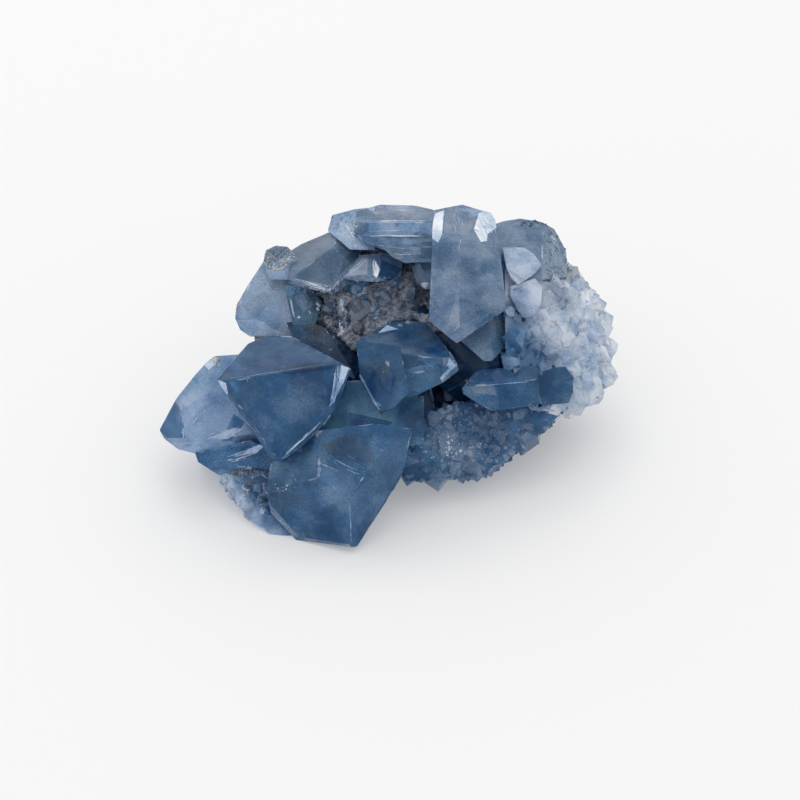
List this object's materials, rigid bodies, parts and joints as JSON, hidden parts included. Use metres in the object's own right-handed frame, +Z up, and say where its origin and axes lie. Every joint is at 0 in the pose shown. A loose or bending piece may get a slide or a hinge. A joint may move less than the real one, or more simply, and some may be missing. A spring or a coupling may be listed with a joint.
{
  "type": "crystal cluster",
  "caption": "Natural cluster of intergrown clear blue celestite crystals on a grey-brown rock matrix, lying loose on its flat underside.",
  "frame": {"origin": "on the resting plane, below the middle of the bounding box", "axes": "+Z up, +X to the right and -Y towards the viewer as the picture shows the cluster"},
  "size_m": [0.0924, 0.0726, 0.0435],
  "materials": {
    "crystals": "clear to milky grey-blue crystal, glassy faces with white chipped edges",
    "matrix": "rough granular grey-brown rock with small glints"
  },
  "bodies": {
    "root": {"crystals": "crystals", "matrix": "matrix"}
  },
  "joints": []
}
